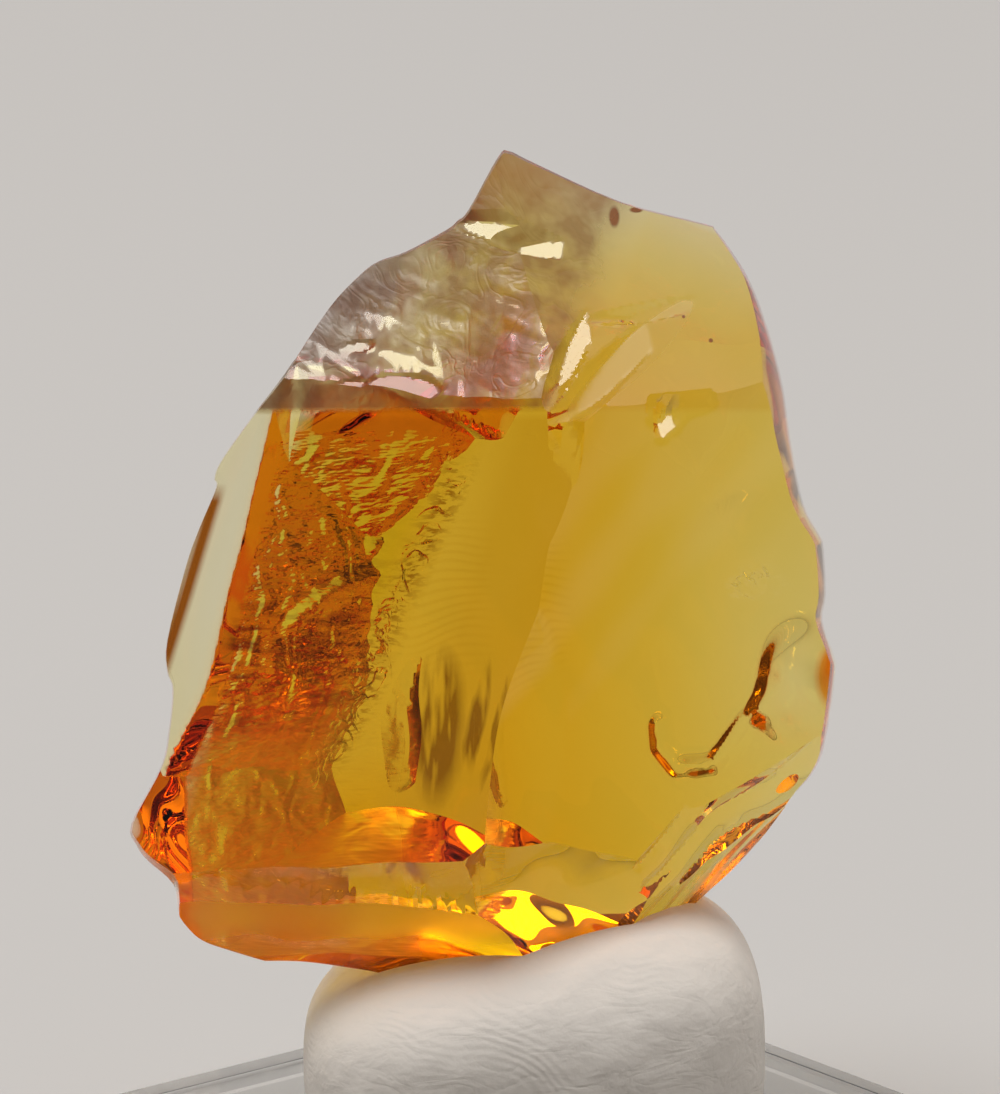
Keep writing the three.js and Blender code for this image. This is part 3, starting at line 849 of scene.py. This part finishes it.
def goldenGlass():
    glass = Finish("golden glass")
    spot = crystalSpot(glass)
    x, y, z = glass.axes(spot)
    across, away, up = glass.axes(glass.node("ShaderNodeTexCoord", {}, out="Normal"))
    marks = Marks(x, z)
    # a set of textures for each side, so that a point only works out its own
    grain, backGrain = ({name: texture(glass, spot, look) for name, look in grains.items()}
                        for side in ("front", "back"))
    slope, foot = golden["belt"]
    behind = y - (slope * z + foot)
    front = behind.rise(0, -golden["beltFade"])
    back = behind.rise(0, golden["beltFade"])
    # the shoulder is crazed, but for the facets that mirror the overhead lamp
    aboveShelf = front * z.rise(*golden["shelf"])
    shoulder = aboveShelf * marks.side("shoulder")
    toX, toY, toZ = golden["lampMirror"]
    clean = (across * toX + away * toY + up * toZ).rise(*golden["mirrorFade"])
    crazed = shoulder * (1 - clean)
    # deep amber on the left, between the clear rim and the seam, and all the way along its foot
    leftFront = front * across.rise(*golden["leftFacing"]) * z.rise(*golden["underShelf"])
    amber = leftFront * marks.side("amberLeft")
    amber = amber * marks.side("amberRight").maximum(z.rise(*golden["amberFoot"]))
    steeped = leftFront * marks.side("steeped") * z.rise(*golden["steepedFrom"])
    # a grainy seam behind the left face, and fine ripples beside it
    seam = marks.rightOf("seam").abs().rise(*lines["seam"]["fade"]) * marks.band("seam") * back
    alongX, alongZ, most = ripples["bend"]
    bend = (x * alongX + z * alongZ).sin() * most
    ripple = ((z - x * ripples["lean"] + bend) * (2 * math.pi / ripples["length"])).sin()
    rippled = back * marks.band("rippled")
    for fade in golden["rippledBetween"]:
        rippled = rippled * x.rise(*fade)
    # rough where it broke low on the left, and where the putty holds it
    hackly = back * x.rise(*golden["hacklyLeft"]) * z.rise(*golden["hacklyLow"])
    torn = back * marks.side("torn") * marks.band("torn")
    held = up.rise(*golden["heldUnder"]) * z.rise(*golden["heldBelow"]) * roughOf["held"]
    fan = front * marks.oval(ovals["fan"]) * roughOf["fan"]
    pitted = front * marks.oval(ovals["pitted"])
    bead = marks.oval(ovals["bead"])
    # dark leaf-shaped patches of painted shade, streaked lengthways, laid over the leaf-shaped pits
    # at the back that turn the light back inside
    sway = (grain["streaks"] - 0.5) * leafSway
    leaves = 0
    for leaf in finShadeLeaves:
        leaves = (marks.oval(leaf, sway) * leftFront * leaf["share"]).maximum(leaves)
    # a dark line just inside the left rim
    edging = marks.side("edging") * marks.rightOf("edging").rise(*lines["edging"]["end"])
    edging = edging * marks.band("edging")
    flecks = [front * marks.oval(fleck) for fleck in darkFlecks]
    plainShares = {
        "brow": aboveShelf * (1 - shoulder),
        "flecks": flecks[2] + flecks[3],
    }
    frontShares = {
        "crazed": crazed * (grain["frost"].rise(*speckle["crazed"])
                            * (1 - strength["crazedPlain"]) + strength["crazedPlain"]),
        "brown": crazed * z.rise(*golden["brownTip"]) * strength["brown"],
        "brow": plainShares["brow"],
        "amber": amber,
        "amberHigh": amber * z.rise(*golden["amberHigh"]),
        "steeped": steeped,
        "flecks": flecks[0] + flecks[1],
        # painted shade over the leaf-shaped pits at the back
        "leaves": leaves * grain["streaks"].rise(*speckle["leaves"]),
        "flaming": (amber * marks.band("flaming") * grain["flames"].rise(*speckle["flaming"])
                    * strength["flaming"]),
        "stain": (front * marks.oval(ovals["stain"])
                  * grain["flames"].rise(*speckle["stain"])),
        "edging": edging,
        "bead": bead * grain["streaks"].rise(*speckle["bead"]),
    }
    backShares = {
        "rippled": rippled * ripple.rise(*speckle["ripples"]) * strength["rippled"],
        "seam": seam * backGrain["seamCrumbs"].rise(*speckle["seam"]),
        "edging": edging,
        "bead": bead * backGrain["streaks"].rise(*speckle["bead"]),
    }
    frosted = roughOf["crazed"] + roughOf["frost"] * grain["frost"].rise(*speckle["frosted"])
    hacked = seam * roughOf["seam"] + torn * roughOf["torn"] + hackly * roughOf["hackly"]
    # each relief is noise alone, and the masks set its strength
    cracks, backCracks = ((some["curl"] - 0.5).abs().rise(*speckle["cracks"])
                          + some["crumb"] * crumbHeight for some in (grain, backGrain))
    depth = golden["relief"]
    broken = glass.bump(cracks, depth, (crazed * strength["crazedRelief"] + pitted).clamped())
    wavy = glass.bump(backGrain["swell"] * swellHeight + backGrain["flames"], depth,
                      (torn + hackly * strength["hacklyRelief"]).clamped())
    # three looks side by side, so that no point of the glass has to work out all the marks
    plainGlass = glass.clearGlass(glass.stain(plainShares), fan.maximum(held))
    frontGlass = glass.clearGlass(glass.stain(frontShares), (crazed * frosted + fan).maximum(held),
                                  broken)
    backGlass = glass.clearGlass(glass.stain(backShares), hacked.maximum(held),
                                 glass.bump(backCracks, depth, seam, wavy))
    marked = x.rise(*golden["markedLeft"]).maximum(z.rise(*golden["markedLow"]))
    marked = marked.maximum(marks.rightOf("shoulder").rise(*golden["markedShoulder"]))
    marked = marked.maximum(pitted).maximum(bead)
    glass.nodes.remove(glass.shader)
    sides = glass.choose(behind.above(0), frontGlass, backGlass)
    glass.links.new(glass.choose(marked.above(0), plainGlass, sides),
                    glass.output.inputs["Surface"])
    glass.soakUp(golden["absorb"])
    return glass.material


def makeCrystal():
    cell = crystal["cell"]
    body = crystalBlank()
    for scar in scars:
        before = len(body.data.polygons)
        carve(body, cuttingBlock(scar, cell))
        if len(body.data.polygons) == before:
            say("nothing carved by " + scar["name"])
    writePoints(body, standUp(readPoints(body)))
    makeActive(body)
    bpy.ops.object.shade_smooth_by_angle(angle=math.radians(crystal["smoothBelow"]))
    body.data.materials.clear()
    body.data.materials.append(goldenGlass())
    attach(body, "root")
    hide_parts("crystal")
    say("crystal, %d faces" % len(body.data.polygons))
    return body


# the putty

putty = {
    "wide": 25,
    "deep": 22,
    "tall": 15.6,
    "middle": (0.25, 1.2, 9.6),
    "square": 0.72,             # 1 is a ball, smaller is boxier
    "slope": 0.19,              # the top climbs to the right
    "foot": 3.03,               # mm above the shelf: it sits on the plate
    "gap": 0.05,                # to the glass it holds
    "around": 128,              # faces round it
    "rings": 80,
    "smoothBelow": 40,          # degrees
    "tone": (0.80, 0.745, 0.68, 1),
    "ridge": 0.47,              # mm from one finger ridge to the next
    "relief": 0.0002,           # metres
}


def puttyFinish():
    paint = Finish("white putty")
    spot = paint.place(scale=(1 / mm, 1 / mm, 1 / mm))
    x, y, z = paint.axes(spot)
    swirl = paint.noise(spot, 0.10, detail=2)
    # finger ridges, bent into loops, in two faint patches
    ridges = ((x * 0.25 + z + swirl * 9.0) * (2 * math.pi / putty["ridge"])).sin()
    patch = paint.noise(spot, 0.13, detail=1).rise(0.5, 0.62)
    # creases in the skin, most of them low on the right
    folded = paint.node("ShaderNodeMapping", {}, spot, Rotation=(0, 0.35, 0), Scale=(0.5, 0.6, 1.3))
    crease = (paint.noise(folded, 0.55, detail=3, distortion=0.8) - 0.5).abs().rise(0, 0.12)
    creased = 0.25 + 0.75 * x.rise(-2, 6) * z.rise(13, 8)
    grain = paint.noise(spot, 2.2, detail=4)
    dents = paint.noise(spot, 0.22, detail=2)
    height = ridges * patch * 0.07 + crease * creased * 0.55 + grain * 0.35 + dents * 5.0
    paint.set(Base_Color=putty["tone"], Roughness=0.72, Specular_IOR_Level=0.35,
              Normal=paint.bump(height, putty["relief"], 0.6))
    return paint.material


def puttyLump():
    # a rounded box whose top climbs to the right, cut flat at its foot
    deselectAll()
    bpy.ops.mesh.primitive_uv_sphere_add(segments=putty["around"], ring_count=putty["rings"],
                                         radius=1)
    lump = bpy.context.object
    lump.name = "putty_pad"
    points = readPoints(lump)
    squared = np.sign(points) * np.abs(points) ** putty["square"]
    size = np.array([putty["wide"], putty["deep"], putty["tall"]]) / 2
    shaped = squared * size
    climb = putty["slope"] * shaped[:, 0] * np.maximum(0, squared[:, 2])
    shaped[:, 2] += climb
    writePoints(lump, shaped + np.array(putty["middle"]))
    makeActive(lump)
    bpy.ops.object.mode_set(mode="EDIT")
    bpy.ops.mesh.select_all(action="SELECT")
    bpy.ops.mesh.bisect(plane_co=(0, 0, putty["foot"]), plane_no=(0, 0, -1),
                        clear_outer=True, use_fill=True)
    bpy.ops.object.mode_set(mode="OBJECT")
    editWhole(lump, bpy.ops.mesh.quads_convert_to_tris, turnOutwards)
    writePoints(lump, readPoints(lump) * mm)
    return lump


def makePutty(body):
    lump = puttyLump()
    # the socket is the crystal itself, moved a little each way so that a gap is left all round
    for shift in ((0, 0, -1), (1, 0, 0), (-1, 0, 0), (0, -1, 0)):
        tool = body.copy()
        tool.data = body.data.copy()
        scene.collection.objects.link(tool)
        writePoints(tool, readPoints(tool) + np.array(shift) * putty["gap"] * mm)
        carve(lump, tool)
    makeActive(lump)
    bpy.ops.object.shade_smooth_by_angle(angle=math.radians(putty["smoothBelow"]))
    lump.data.materials.clear()
    lump.data.materials.append(puttyFinish())
    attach(lump, "root")
    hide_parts("putty")
    say("putty, %d faces" % len(lump.data.polygons))


# the plate

plate = {
    "ior": 1.49,
    "absorb": (3, 4.5, 9),      # per metre: clear, faintly warm along the edges
    "polish": 0.01,             # roughness where it isn't scuffed
    "scuffed": 0.05,
}


def dressPlate():
    clear = Finish("clear acrylic")
    spot = clear.place(scale=(1 / mm, 1 / mm, 1 / mm))
    scuffs = clear.noise(spot, 1.1, detail=5, roughness=0.7).rise(0.5, 0.8)
    clear.set(Base_Color=(1, 1, 1, 1), IOR=plate["ior"], Transmission_Weight=1.0,
              Roughness=plate["polish"] + plate["scuffed"] * scuffs)
    clear.soakUp(plate["absorb"])
    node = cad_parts["acrylic_plate"]
    node.data.materials.clear()
    node.data.materials.append(clear.material)
    say("plate")


# all of it

bounces = {"max_bounces": 12, "transmission_bounces": 12, "glossy_bounces": 6}

makeCamera()
makeFloor()
makeAir()
makeLamps()
say("studio")
goldenBody = makeCrystal()
makePutty(goldenBody)
dressPlate()

scene.view_settings.view_transform = "Standard"
for name, count in bounces.items():
    setattr(scene.cycles, name, count)
